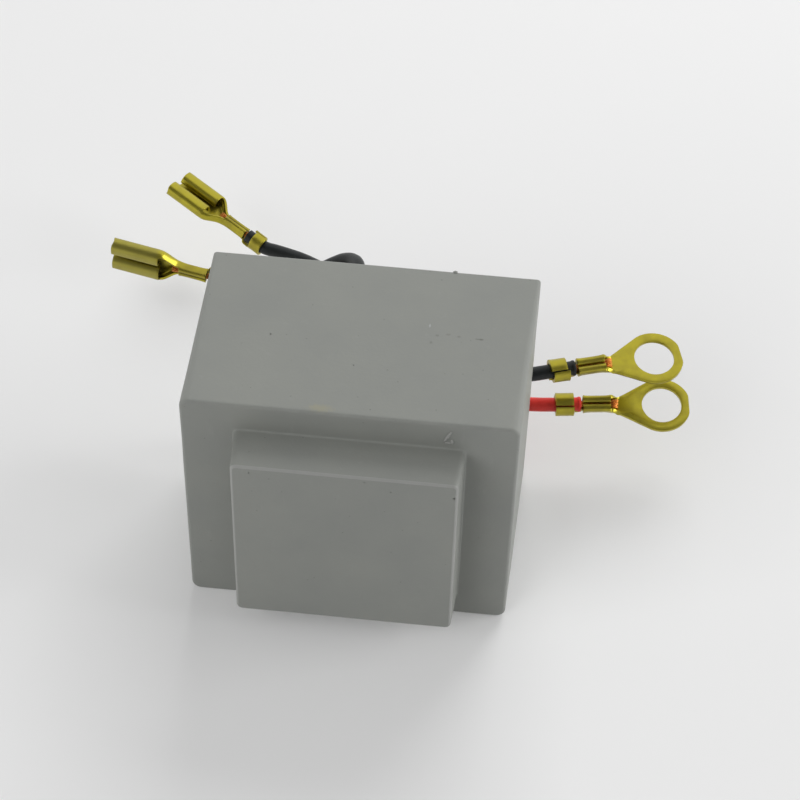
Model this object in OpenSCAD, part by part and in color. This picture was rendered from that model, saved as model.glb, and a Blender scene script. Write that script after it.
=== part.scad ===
// Potted mains transformer: an E-I core with its coil, cast in a resin block with a boss over the coil.
// Two primary leads end in push-on terminals and two secondary leads end in ring terminals.
// Millimetres. The origin is the middle of the footprint, on the base.
// +X is to the right of the boss, +Y points to the pour face and +Z is up.

/* [Core] */
// Half the width of the core's tongue, which sets every other size of the lamination
core_module = 8; // [7.6:0.1:9]
// Thickness of the stack of laminations
stack_t = 16.8; // [14:0.1:20]

/* [Bobbin and windings] */
// Wall of the bobbin's tube
tube_wall = 0.9; // [0.7:0.05:1.1]
// Thickness of the bobbin's flanges
flange_t = 1; // [0.8:0.1:1.5]
// Height of the rails that carry the solder tags
rail_h = 3.2; // [2.8:0.1:4]
// Width of the rails
rail_w = 26; // [20:0.5:28]
// Gap between the tongue and the bobbin's tube
tongue_gap = 0.15; // [0.1:0.05:0.3]
// Gap between the core and the bobbin's flanges and rails
flange_gap = 0.4; // [0.2:0.05:0.6]
// Depth of the primary winding
primary_build = 2.9; // [2.4:0.1:3.4]
// Thickness of the barrier between the windings
barrier_t = 0.25; // [0.15:0.05:0.4]
// Thickness of the tape round the coil
tape_t = 0.25; // [0.15:0.05:0.4]
// Distance from the tape to the edge of the flanges
tape_setback = 0.35; // [0.2:0.05:0.6]

/* [Solder tags] */
// Distance between the two tags of a rail
tag_pitch = 8; // [6:0.5:12]
// Width of a tag
tag_w = 0.9; // [0.7:0.05:1.1]
// Thickness of a tag
tag_t = 0.5; // [0.4:0.05:0.6]
// Length of a tag held in its rail
tag_root = 2.5; // [1.5:0.1:4]
// Length of a tag that stands out of its rail
tag_reach = 2.2; // [1.8:0.1:2.6]
// Diameter of the solder round a tag and its strands
solder_d = 2.6; // [2.5:0.05:3]
// Thickness of the solder between a tag and its strands
solder_film = 0.05; // [0.03:0.01:0.1]

/* [Resin block] */
// Resin at each side of the core
side_cover = 2; // [1.5:0.1:3]
// Resin above and below the core
end_cover = 2.25; // [1.5:0.05:3]
// Resin in front of the core
front_cover = 2.8; // [2:0.1:4]
// Resin behind the coil, which the leads pass through
rear_cover = 5.6; // [5.2:0.1:8]
// Resin in front of the coil, in the boss
boss_cover = 2.2; // [1.5:0.1:3]
// Resin at each side of the coil, at the foot of the boss
boss_side_cover = 1.9; // [1.6:0.1:3]
// Resin above and below the bobbin's rails, at the foot of the boss
boss_end_cover = 2.7; // [2:0.1:3]
// How far the boss sits to the left of the block's middle
boss_left = 0.4; // [0:0.1:0.8]
// How far the boss sits below the block's middle
boss_drop = 0.5; // [0:0.1:0.8]
// How far each side of the boss slopes in
boss_draft = 0.45; // [0.2:0.05:0.8]
// Radius of the block's corners, seen from the front
corner_r = 1.5; // [1:0.1:2.5]
// Radius of the edges round the block's front face
front_edge_r = 0.5; // [0.3:0.1:1.4]
// Radius of the edges round the pour face
pour_edge_r = 0.5; // [0.2:0.1:1]
// Radius of the boss's corners, seen from the front
boss_corner_r = 1; // [0.8:0.1:2]
// Radius of the edges round the boss's front face
boss_edge_r = 0.45; // [0.3:0.05:0.7]
// Radius of the cove at the foot of the boss
cove_r = 0.3; // [0.2:0.05:0.6]

/* [Leads] */
// Outer diameter of the leads
lead_d = 2.4; // [2.2:0.05:2.6]
// Diameter of the bare strands
conductor_d = 1; // [0.8:0.05:1.2]
// Length of insulation held in the resin
lead_embed = 2.8; // [2.4:0.1:3]
// Gap between a lead and the resin or the insulation crimp round it
lead_gap = 0.02; // [0.01:0.01:0.1]

/* [Crimps] */
// Length of the insulation crimp
insulation_crimp_l = 2.7; // [2:0.1:4]
// How far one wing of the insulation crimp is set behind the other
wing_stagger = 0.4; // [0:0.1:0.8]
// Length of insulation that shows past its crimp
insulation_show = 0.8; // [0.4:0.1:1]
// Length of bare strands before the wire crimp
strand_show = 0.5; // [0.3:0.1:1]
// Length of the wire crimp
wire_crimp_l = 4.8; // [4:0.1:6]
// Length of the strands' brush past the wire crimp
brush_l = 0.9; // [0.2:0.1:1.2]
// Width of the seam between the crimped wings
seam_w = 0.12; // [0.06:0.02:0.2]
// Height of the wings' shoulders above the strands
shoulder_h = 0.1; // [0.05:0.05:0.2]
// Overlap of the two curled wings at the seam
curl_lap = 0.06; // [0.03:0.01:0.1]
// Width of the strip that joins the crimps
strip_w = 1.8; // [1.4:0.1:2.2]
// How far the strip's top lies below the insulation and the strands
strip_drop = 0.06; // [0.04:0.01:0.1]

/* [Push-on terminals] */
// Width of the tab that the terminal takes
tab_w = 6.3; // [4.8:0.1:6.4]
// Thickness of the tab
tab_t = 0.8; // [0.5:0.05:0.9]
// Spare width at the tab
tab_side_gap = 0.3; // [0.2:0.05:0.5]
// Spare height at the tab
tab_top_gap = 0.05; // [0.02:0.01:0.1]
// Thickness of the terminal's sheet
push_sheet = 0.4; // [0.3:0.02:0.5]
// Length of the receptacle
receptacle_l = 8; // [6:0.1:9]
// Length of the tapered neck between the wire crimp and the receptacle
neck_l = 3.3; // [2.6:0.1:4]
// Width of the wire crimp
push_crimp_w = 2; // [1.9:0.1:2.6]
// Chamfer at the mouth's outer corners
mouth_chamfer = 0.5; // [0.2:0.1:0.8]
// Diameter of the locking dimple
dimple_d = 1.6; // [1.2:0.1:2]
// Height of the locking dimple
dimple_h = 0.3; // [0.15:0.05:0.4]

/* [Ring terminals] */
// Diameter of the stud hole
stud_hole_d = 6.7; // [5.3:0.1:7]
// Outer diameter of the ring
ring_d = 9.8; // [9.2:0.1:12]
// Thickness of the ring's sheet
ring_sheet = 0.6; // [0.5:0.05:0.8]
// Distance from the wire crimp to the middle of the stud hole
ring_reach = 9.1; // [8:0.1:12]
// Angle round the ring, from its tip, where the neck's edges meet it
ring_shoulder_a = 130; // [120:1:140]
// How much the flat tip cuts off the ring
tip_cut = 0.3; // [0.1:0.05:0.6]
// Width of the neck where it leaves the wire crimp
ring_neck_w = 3.8; // [3.4:0.1:4.4]
// Width of the wire crimp
ring_crimp_w = 2.9; // [2.6:0.1:3.2]
// Length of the cheeks that fall from the wire crimp to the neck
cheek_l = 2; // [1.4:0.1:2.6]
// Height of the cheeks at the wire crimp
cheek_h = 1.4; // [1:0.1:1.6]

/* [Hidden] */
$fn = 64;
overlap = 0.2;
far = 100;
lead_sides = 8;

// Core
core_w = 6 * core_module;
core_h = 5 * core_module;
tongue_w = 2 * core_module;
window_w = core_module;
window_h = 3 * core_module;
window_x = (tongue_w + window_w) / 2;

// Resin block, outside
coil_reach = core_module - flange_gap;
block_w = core_w + 2 * side_cover;
block_h = core_h + 2 * end_cover;
boss_d = coil_reach + boss_cover - front_cover;
depth = boss_cover + 2 * coil_reach + stack_t + rear_cover;
pour_y = depth / 2;
boss_y = -depth / 2;
front_y = boss_y + boss_d;
mid_z = block_h / 2;

// Coil
stack_front_y = front_y + front_cover;
stack_rear_y = stack_front_y + stack_t;
stack_mid_y = (stack_front_y + stack_rear_y) / 2;
coil_w = tongue_w + 2 * coil_reach;
coil_d = stack_t + 2 * coil_reach;
coil_rear_y = stack_rear_y + coil_reach;
bobbin_h = window_h - 2 * flange_gap;
winding_h = bobbin_h - 2 * flange_t;
tube_w = tongue_w + 2 * (tongue_gap + tube_wall);
tube_d = stack_t + 2 * (tongue_gap + tube_wall);
build_room = coil_reach - tongue_gap - tube_wall - tape_setback;
secondary_build = build_room - primary_build - barrier_t - tape_t;
boss_w = coil_w + 2 * boss_side_cover;
boss_h = bobbin_h + 2 * (rail_h + boss_end_cover);

// Lead exits on the pour face
rail_mid = (bobbin_h + rail_h) / 2;
exit_x = tag_pitch / 2;
primary_z = mid_z + rail_mid;
secondary_z = mid_z - rail_mid;
exits = [
    [-exit_x, pour_y, primary_z],
    [exit_x, pour_y, primary_z],
    [-exit_x, pour_y, secondary_z],
    [exit_x, pour_y, secondary_z]
];
tag_drop = (conductor_d + tag_t) / 2 + solder_film;

// Crimps, measured along the lead from the end of its insulation
insulation_r = lead_d / 2 + lead_gap;
strand_r = conductor_d / 2;
wire_crimp_end = strand_show + wire_crimp_l;
insulation_crimp_start = -insulation_show - insulation_crimp_l;

// Push-on terminal
roll_r = push_sheet + tab_t + tab_top_gap;
receptacle_w = tab_w + tab_side_gap + 2 * push_sheet;
neck_start = wire_crimp_end;
receptacle_start = neck_start + neck_l;
receptacle_end = receptacle_start + receptacle_l;
push_floor = -strand_r - strip_drop - push_sheet;
neck_chamfer = roll_r / 2;
neck_slope = (receptacle_w - push_crimp_w) / 2 / neck_l;
neck_wall_y = push_sheet * sqrt(1 + neck_slope * neck_slope);

// Ring terminal
ring_x = wire_crimp_end + ring_reach;
ring_floor = -strand_r - strip_drop - ring_sheet;

// Routes of the leads, each from its own exit on the pour face
primary_route_a = [
    [0, 0, 0], [0, 2.4, 0], [0.1, 4.8, 0], [0.2, 7.1, -0.1], [-0.1, 9.4, -0.4],
    [-1, 11.3, -1.2], [-2.5, 12.5, -2.3], [-4.2, 12.9, -3.6], [-6.1, 12.8, -4.9], [-8.3, 12.3, -6],
    [-10.7, 11.5, -6.7], [-13.2, 10.5, -7], [-15.6, 9.5, -6.9], [-18.2, 8.8, -6.4], [-21, 8.4, -5.8],
    [-24.7, 8.9, -5.4]
];
primary_route_b = [
    [0, 0, 0], [-0.1, 2.9, -0.2], [-0.7, 5.3, -1.9], [-1.6, 8.2, -4.4],
    [-2.5, 11, -7], [-3.4, 13.7, -9.6], [-4.4, 16.4, -12.2], [-5.5, 19.1, -14.8],
    [-6.7, 21.8, -17.4], [-8.2, 24.6, -19.8], [-10.2, 27.5, -22.1], [-12.6, 30.3, -23.9],
    [-14.8, 32.4, -25], [-16.9, 34.1, -25.6], [-19.1, 35.5, -25.8], [-21.4, 36.6, -25.8],
    [-23.7, 37.3, -25.7], [-26, 37.8, -25.5], [-28.4, 38.3, -25.3], [-31.6, 40.1, -24.4]
];
secondary_route_a = [
    [0, 0, 0], [0, 2.1, 0], [0.3, 4.4, 0.2], [1.5, 6.5, 0.8], [3.6, 7.9, 1.6],
    [6.2, 8.5, 2.6], [8.9, 8.3, 3.7], [11.6, 7.6, 4.9], [14.2, 6.6, 6.1], [16.8, 5.5, 7.3],
    [19.4, 4.4, 8.5], [22, 3.4, 9.6], [24.6, 2.7, 10.5], [27.2, 2.3, 11.1], [29.8, 2.4, 11.4],
    [32.2, 3, 11.6], [36.3, 4.3, 11.7]
];
secondary_route_b = [
    [0, 0, 0], [0, 2.1, 0], [0.3, 4.3, 0.1], [1.6, 6.2, 0.3], [3.6, 7.5, 0.7],
    [6, 8, 1.1], [8.5, 7.7, 1.6], [10.9, 6.9, 2.1], [13.3, 5.8, 2.5], [15.7, 4.7, 2.8],
    [18.1, 3.8, 3], [20.6, 3.3, 3.2], [23.2, 3.3, 3.3], [25.8, 3.5, 3.4], [29.9, 4, 3.5]
];
routes = [primary_route_a, primary_route_b, secondary_route_a, secondary_route_b];
// Turn of each terminal about its own lead
rolls = [-103, 24, 11, 15];

resin_grey = [0.54, 0.55, 0.52];
steel_grey = [0.45, 0.46, 0.48];
bobbin_white = [0.9, 0.89, 0.85];
enamel_copper = [0.68, 0.33, 0.16];
tape_yellow = [0.86, 0.76, 0.36];
tinned = [0.76, 0.76, 0.74];
bare_copper = [0.85, 0.5, 0.28];
lead_black = [0.11, 0.13, 0.15];
lead_red = [0.75, 0.1, 0.1];
brass_yellow = [0.72, 0.63, 0.3];

// Helpers

function unit(v) = v / norm(v);
function tangent(p, i) = unit(p[min(i + 1, len(p) - 1)] - p[max(i - 1, 0)]);
// The lead's own path: its tail in the resin, then the route from the pour face
function lead_path(n) = concat(
    [exits[n] - [0, lead_embed, 0]],
    [for (p = routes[n]) exits[n] + p]
);
// Points of one ring of a swept tube
function tube_ring(p, i, r) =
    let (t = tangent(p, i), side = unit(cross([0, 0, 1], t)), up = cross(t, side))
    [for (k = [0.5 : lead_sides])
        let (turn = 360 * k / lead_sides) p[i] + r * (cos(turn) * side + sin(turn) * up)];

// Round tube along a list of points, closed at both ends
module swept_tube(p, r) {
    last = (len(p) - 1) * lead_sides;
    polyhedron(
        points = [for (i = [0 : len(p) - 1]) each tube_ring(p, i, r)],
        faces = concat(
            [[for (k = [0 : lead_sides - 1]) k]],
            [[for (k = [lead_sides - 1 : -1 : 0]) last + k]],
            [for (i = [0 : lead_sides : last - 1], k = [0 : lead_sides - 1], half = [0, 1])
                let (j = (k + 1) % lead_sides, next = i + lead_sides)
                half == 0 ? [i + k, next + k, next + j] : [i + k, next + j, i + j]]
        )
    );
}

// Convex outline with a radius at each corner
module rounded(points, radii) {
    n = len(points);
    corners = [for (i = [0 : n - 1])
        let (p = points[i], u = unit(points[(i + n - 1) % n] - p), v = unit(points[(i + 1) % n] - p),
            half = acos(u * v) / 2, reach = radii[i] / tan(half))
        [p + u * reach, p + v * reach, p + unit(u + v) * radii[i] / sin(half)]];
    polygon([for (c = corners) each [c[0], c[1]]]);
    for (i = [0 : n - 1]) translate(corners[i][2]) circle(r = radii[i]);
}

// Rectangle about the origin with round corners
module rounded_rect(w, h, r) {
    rounded([[-w, -h] / 2, [w, -h] / 2, [w, h] / 2, [-w, h] / 2], [r, r, r, r]);
}

// Box from its middle in X and its lower corner in Y and Z
module slab(w, y, d, z, h) {
    translate([-w / 2, y, z]) cube([w, d, h]);
}

// Outline in Y and Z, run along X
module along_x(x, l) {
    translate([x, 0, 0]) rotate([90, 0, 90]) linear_extrude(l) children();
}

// Outline in X and Z, run along Y on both sides of the middle
module across_y(w) {
    rotate([90, 0, 0]) linear_extrude(w, center = true) children();
}

// Puts what is drawn along +X at the end of a lead, with the crimps' seams up before the turn
module at_lead_end(n) {
    p = lead_path(n);
    d = unit(p[len(p) - 1] - p[len(p) - 2]);
    translate(p[len(p) - 1]) rotate([rolls[n], -asin(d[2]), atan2(d[1], d[0])]) children();
}

// Resin block

// Solid with one outline from the front, one from above and one from the side
module cast_form(y, d) {
    intersection() {
        translate([0, y + d, mid_z]) rotate([90, 0, 0]) linear_extrude(d) children(0);
        linear_extrude(far) children(1);
        along_x(-far / 2, far) children(2);
    }
}

module block_form() {
    edges = [front_edge_r, front_edge_r, pour_edge_r, pour_edge_r];
    half_w = block_w / 2;
    cast_form(front_y, pour_y - front_y) {
        rounded_rect(block_w, block_h, corner_r);
        rounded([[-half_w, front_y], [half_w, front_y], [half_w, pour_y], [-half_w, pour_y]], edges);
        rounded([[front_y, block_h], [front_y, 0], [pour_y, 0], [pour_y, block_h]], edges);
    }
}

module boss_form() {
    edges = [boss_edge_r, boss_edge_r];
    half_w = boss_w / 2;
    half_h = boss_h / 2;
    root_y = front_y + front_cover;
    root_draft = boss_draft * front_cover / boss_d;
    wide = half_w + root_draft;
    high = half_h + root_draft;
    cast_form(boss_y, boss_d + front_cover) {
        rounded_rect(2 * wide, 2 * high, boss_corner_r);
        intersection() {
            rounded([[boss_draft - half_w, boss_y], [half_w - boss_draft, boss_y],
                [wide, root_y], [-wide, root_y]], concat(edges, [overlap, overlap]));
            translate([-far / 2, boss_y]) square([far, boss_d + front_cover - overlap]);
        }
        intersection() {
            translate([0, mid_z]) rounded([[boss_y, half_h - boss_draft], [boss_y, boss_draft - half_h],
                [root_y, -high], [root_y, high]], concat(edges, [overlap, overlap]));
            translate([boss_y, mid_z - far / 2]) square([boss_d + front_cover - overlap, far]);
        }
    }
}

// Section of the cove: the corner between the boss's side and the block's face, less a quarter circle
module cove_section() {
    difference() {
        translate([-overlap, -overlap]) square(cove_r + overlap);
        translate([cove_r, cove_r]) circle(r = cove_r);
    }
}

module boss_cove() {
    run_w = boss_w - 2 * boss_corner_r;
    run_h = boss_h - 2 * boss_corner_r;
    translate([0, front_y, mid_z]) rotate([90, 0, 0]) {
        for (turn = [0, 180]) rotate(turn) {
            translate([0, boss_h / 2, 0]) along_x(-run_w / 2, run_w) cove_section();
            rotate(-90) translate([0, boss_w / 2, 0]) along_x(-run_h / 2, run_h) cove_section();
            for (side = [0, 1]) mirror([side, 0, 0]) translate([run_w / 2, run_h / 2, 0])
                rotate_extrude(angle = 90) translate([boss_corner_r, 0]) cove_section();
        }
    }
}

// Room for the core, the coil with its rails, the tags and the leads
module potted_room() {
    slab(core_w, stack_front_y, stack_t, end_cover, core_h);
    slab(coil_w, stack_front_y - coil_reach, coil_d, mid_z - bobbin_h / 2, bobbin_h);
    rails();
    solder_tags();
    for (e = exits) translate([e[0], coil_rear_y, e[2]]) rotate([-90, 0, 0]) {
        cylinder(d = solder_d, h = tag_reach);
        cylinder(r = insulation_r, h = rear_cover + overlap);
    }
}

module resin_block() {
    color(resin_grey) difference() {
        union() {
            block_form();
            translate([-boss_left, 0, -boss_drop]) {
                boss_form();
                boss_cove();
            }
        }
        potted_room();
    }
}

// Core

// Lamination outline in X and Z, run through the stack
module stacked() {
    translate([0, stack_rear_y, end_cover]) rotate([90, 0, 0]) linear_extrude(stack_t) children();
}

module e_laminations() {
    color(steel_grey) stacked() difference() {
        translate([-core_w / 2, 0]) square([core_w, core_h - core_module]);
        for (side = [-1, 1])
            translate([side * window_x - window_w / 2, core_module]) square([window_w, far]);
    }
}

module i_laminations() {
    color(steel_grey) stacked()
        translate([-core_w / 2, core_h - core_module]) square([core_w, core_module]);
}

// Coil

// Rails in one piece with the flanges that they stand on
module rails() {
    rail_d = coil_reach - flange_gap;
    for (y = [stack_front_y - coil_reach, stack_rear_y + flange_gap])
        for (z = [mid_z + bobbin_h / 2 - flange_t, mid_z - bobbin_h / 2 - rail_h])
            slab(rail_w, y, rail_d, z, rail_h + flange_t);
}

module bobbin() {
    color(bobbin_white) difference() {
        union() {
            slab(tube_w, stack_mid_y - tube_d / 2, tube_d, mid_z - bobbin_h / 2, bobbin_h);
            for (z = [mid_z - bobbin_h / 2, mid_z + bobbin_h / 2 - flange_t])
                slab(coil_w, stack_mid_y - coil_d / 2, coil_d, z, flange_t);
            rails();
        }
        slab(tongue_w + 2 * tongue_gap, stack_front_y - tongue_gap,
            stack_t + 2 * tongue_gap, 0, block_h);
        solder_tags();
    }
}

// Outline of the coil at a depth of winding on the tube
module coil_outline(build) {
    if (build > 0) rounded_rect(tube_w + 2 * build, tube_d + 2 * build, build);
    else square([tube_w, tube_d], center = true);
}

// One layer of the coil, from one depth of winding to the next
module coil_layer(inner, build) {
    translate([0, stack_mid_y, mid_z]) linear_extrude(winding_h, center = true) difference() {
        coil_outline(inner + build);
        coil_outline(inner);
    }
}

module primary_winding() {
    color(enamel_copper) coil_layer(0, primary_build);
}

module winding_barrier() {
    color(tape_yellow) coil_layer(primary_build, barrier_t);
}

module secondary_winding() {
    color(enamel_copper) coil_layer(primary_build + barrier_t, secondary_build);
}

module coil_tape() {
    color(tape_yellow) coil_layer(build_room - tape_t, tape_t);
}

// Solder tags

module solder_tags() {
    color(tinned) for (e = exits)
        translate([e[0] - tag_w / 2, coil_rear_y - tag_root, e[2] - tag_drop - tag_t / 2])
            cube([tag_w, tag_root + tag_reach, tag_t]);
}

// Strands laid on a tag, from the end of the lead's insulation
module tag_strands(n) {
    translate([exits[n][0], coil_rear_y, exits[n][2]]) rotate([-90, 0, 0])
        cylinder(r = strand_r, h = rear_cover - lead_embed);
}

module solder_joints() {
    color(tinned) difference() {
        for (e = exits) translate([e[0], coil_rear_y, e[2]]) rotate([-90, 0, 0])
            cylinder(d = solder_d, h = tag_reach);
        solder_tags();
        for (n = [0 : len(exits) - 1]) tag_strands(n);
    }
}

// Leads

module lead(n) {
    swept_tube(lead_path(n), lead_d / 2);
}

module strands(n) {
    color(bare_copper) {
        tag_strands(n);
        at_lead_end(n) rotate([0, 90, 0]) cylinder(r = strand_r, h = wire_crimp_end + brush_l);
    }
}

// Crimps, drawn along +X with the lead's axis at Y = Z = 0 and the end of its insulation at X = 0

// Two wings wrapped round the insulation, one set behind the other
module insulation_crimp(sheet) {
    difference() {
        along_x(insulation_crimp_start, insulation_crimp_l) difference() {
            circle(r = insulation_r + sheet);
            circle(r = insulation_r);
            translate([-seam_w / 2, 0]) square([seam_w, far]);
        }
        translate([insulation_crimp_start - overlap, 0, -insulation_r])
            cube([wing_stagger + overlap, far, far]);
        translate([-insulation_show - wing_stagger, -far, -insulation_r])
            cube([wing_stagger + overlap, far, far]);
    }
}

// Strip that joins the crimps and steps up from the insulation to the strands
module crimp_strip(sheet) {
    low = -insulation_r - strip_drop;
    high = -strand_r - strip_drop;
    across_y(strip_w) polygon([
        [insulation_crimp_start, low - sheet], [lead_gap, low - sheet],
        [strand_show, high - sheet], [strand_show + overlap, high - sheet],
        [strand_show + overlap, high], [strand_show, high],
        [lead_gap, low], [insulation_crimp_start, low]
    ]);
}

// Two wings curled over the strands and pressed down between them
module wire_crimp(w, sheet) {
    floor_z = -strand_r - strip_drop - sheet;
    shoulder_z = strand_r + shoulder_h;
    curl_r = w / 4 + curl_lap;
    along_x(strand_show, wire_crimp_l) difference() {
        union() {
            translate([-w / 2, floor_z + sheet]) square([w, shoulder_z - floor_z - sheet]);
            translate([sheet - w / 2, floor_z]) square([w - 2 * sheet, 2 * sheet]);
            for (side = [-1, 1]) {
                translate([side * (w / 2 - sheet), floor_z + sheet]) circle(r = sheet);
                translate([side * (w / 2 - curl_r), shoulder_z]) circle(r = curl_r);
            }
        }
        circle(r = strand_r);
        translate([-seam_w / 2, 0]) square([seam_w, far]);
    }
}

// Push-on terminals

// Flat floor with a roll at each side that leaves the tab's thickness under its edge
module receptacle_section() {
    roll_y = receptacle_w / 2 - roll_r;
    translate([-roll_y, push_floor]) square([2 * roll_y, push_sheet]);
    for (side = [0, 1]) mirror([side, 0]) translate([roll_y, push_floor + roll_r]) difference() {
        circle(r = roll_r);
        circle(r = roll_r - push_sheet);
        translate([-far, -far]) square(far);
    }
}

// Tapered trough with chamfered lower edges: its outside at inset 0, its inside at an inset of one sheet
module neck_trough(inset, wall_y, reach) {
    half_w = receptacle_w / 2 - inset;
    start_w = push_crimp_w / 2 - wall_y - reach * neck_slope;
    end_w = receptacle_w / 2 - wall_y + reach * neck_slope;
    intersection() {
        translate([0, 0, -far / 2]) linear_extrude(far) polygon([
            [neck_start - reach, -start_w], [receptacle_start + reach, -end_w],
            [receptacle_start + reach, end_w], [neck_start - reach, start_w]
        ]);
        along_x(neck_start - far, 2 * far) translate([0, push_floor + inset]) polygon([
            [half_w, roll_r], [-half_w, roll_r], [-half_w, neck_chamfer],
            [neck_chamfer - half_w, 0], [half_w - neck_chamfer, 0], [half_w, neck_chamfer]
        ]);
    }
}

module push_on_terminal(n) {
    color(brass_yellow) at_lead_end(n) {
        insulation_crimp(push_sheet);
        crimp_strip(push_sheet);
        wire_crimp(push_crimp_w, push_sheet);
        difference() {
            neck_trough(0, 0, 0);
            neck_trough(push_sheet, neck_wall_y, overlap);
        }
        difference() {
            along_x(receptacle_start, receptacle_l) receptacle_section();
            for (side = [-1, 1]) translate([receptacle_end, side * receptacle_w / 2, 0]) rotate(45)
                cube([mouth_chamfer * sqrt(2), mouth_chamfer * sqrt(2), far], center = true);
        }
        dimple();
    }
}

// Cap of a ball on the receptacle's floor, which snaps into the tab's hole
module dimple() {
    ball_r = (dimple_d * dimple_d / 4 + dimple_h * dimple_h) / (2 * dimple_h);
    translate([receptacle_start + receptacle_l / 2, 0, push_floor + push_sheet]) intersection() {
        translate([0, 0, dimple_h - ball_r]) sphere(r = ball_r);
        translate([0, 0, dimple_h / 2 - push_sheet / 4])
            cube([far, far, dimple_h + push_sheet / 2], center = true);
    }
}

// Ring terminals

module ring_tongue() {
    r = ring_d / 2;
    shoulder = [ring_x + r * cos(ring_shoulder_a), r * sin(ring_shoulder_a)];
    translate([0, 0, ring_floor]) linear_extrude(ring_sheet) difference() {
        union() {
            polygon([
                [wire_crimp_end - overlap, -ring_neck_w / 2], [shoulder[0], -shoulder[1]],
                shoulder, [wire_crimp_end - overlap, ring_neck_w / 2]
            ]);
            translate([ring_x, 0]) circle(r = r);
        }
        translate([ring_x, 0]) circle(d = stud_hole_d);
        translate([ring_x + r - tip_cut, -r]) square(2 * r);
    }
}

// Sides of the crimp that fall to the flat neck
module ring_cheeks() {
    for (side = [-1, 1]) translate([0, side * (ring_crimp_w - ring_sheet) / 2, 0])
        across_y(ring_sheet) polygon([
            [wire_crimp_end - overlap, ring_floor], [wire_crimp_end + cheek_l, ring_floor],
            [wire_crimp_end + cheek_l, ring_floor + ring_sheet], [wire_crimp_end, ring_floor + cheek_h],
            [wire_crimp_end - overlap, ring_floor + cheek_h]
        ]);
}

module ring_terminal(n) {
    color(brass_yellow) at_lead_end(n) {
        insulation_crimp(ring_sheet);
        crimp_strip(ring_sheet);
        wire_crimp(ring_crimp_w, ring_sheet);
        ring_tongue();
        ring_cheeks();
    }
}

resin_block();
e_laminations();
i_laminations();
bobbin();
primary_winding();
winding_barrier();
secondary_winding();
coil_tape();
solder_tags();
solder_joints();
color(lead_black) lead(0);  // primary_lead_a
color(lead_black) lead(1);  // primary_lead_b
color(lead_black) lead(2);  // secondary_lead_black
color(lead_red) lead(3);  // secondary_lead_red
strands(0);  // primary_strands_a
strands(1);  // primary_strands_b
strands(2);  // secondary_strands_black
strands(3);  // secondary_strands_red
push_on_terminal(0);  // push_on_terminal_a
push_on_terminal(1);  // push_on_terminal_b
ring_terminal(2);  // ring_terminal_black
ring_terminal(3);  // ring_terminal_red
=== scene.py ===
"""Looks of a potted transformer: cast block, leads, formed terminals, core, coil and a studio stage."""

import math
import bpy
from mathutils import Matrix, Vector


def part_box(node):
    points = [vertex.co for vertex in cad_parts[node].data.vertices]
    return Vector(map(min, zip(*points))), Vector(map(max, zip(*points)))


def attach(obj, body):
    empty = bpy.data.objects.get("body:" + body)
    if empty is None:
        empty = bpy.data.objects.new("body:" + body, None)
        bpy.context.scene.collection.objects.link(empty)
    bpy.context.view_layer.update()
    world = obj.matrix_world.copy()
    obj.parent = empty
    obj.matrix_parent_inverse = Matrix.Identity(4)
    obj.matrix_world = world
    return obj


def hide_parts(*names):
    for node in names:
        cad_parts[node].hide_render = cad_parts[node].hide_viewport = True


bl_info = {
    "name": "Potted transformer",
    "version": (1, 0, 0),
    "blender": (4, 5, 0),
    "location": "View3D > Sidebar > Transformer",
    "description": "Builds the looks of a potted mains transformer round its packed solids",
    "category": "Object",
}

import bmesh
import bpy
from bpy.props import FloatProperty, FloatVectorProperty, PointerProperty
from mathutils import Matrix, Vector, noise

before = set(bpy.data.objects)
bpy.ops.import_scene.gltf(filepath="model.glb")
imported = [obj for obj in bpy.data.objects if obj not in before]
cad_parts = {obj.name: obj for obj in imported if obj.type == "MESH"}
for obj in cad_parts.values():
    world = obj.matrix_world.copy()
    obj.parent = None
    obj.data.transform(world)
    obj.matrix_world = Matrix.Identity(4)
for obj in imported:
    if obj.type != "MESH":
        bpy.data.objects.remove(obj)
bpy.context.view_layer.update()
BLOCK_LOW, BLOCK_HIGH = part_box("resin_block")

MM = 0.001
NEAR = 1e-6

# Leads: name, insulation slot, CAD node of the insulation, of the strands and of the terminal
LEADS = (
    ("primary_lead_upper", "black_insulation", "primary_lead_a", "primary_strands_a", "push_on_terminal_a"),
    ("primary_lead_rear", "black_insulation", "primary_lead_b", "primary_strands_b", "push_on_terminal_b"),
    ("secondary_lead_dark", "black_insulation", "secondary_lead_black", "secondary_strands_black",
     "ring_terminal_black"),
    ("secondary_lead_bright", "red_insulation", "secondary_lead_red", "secondary_strands_red",
     "ring_terminal_red"),
)
# Where each lead leaves the pour face, in millimetres
EXITS = ((-4, 19.9, 35.45), (4, 19.9, 35.45), (-4, 19.9, 9.05), (4, 19.9, 9.05))
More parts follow.
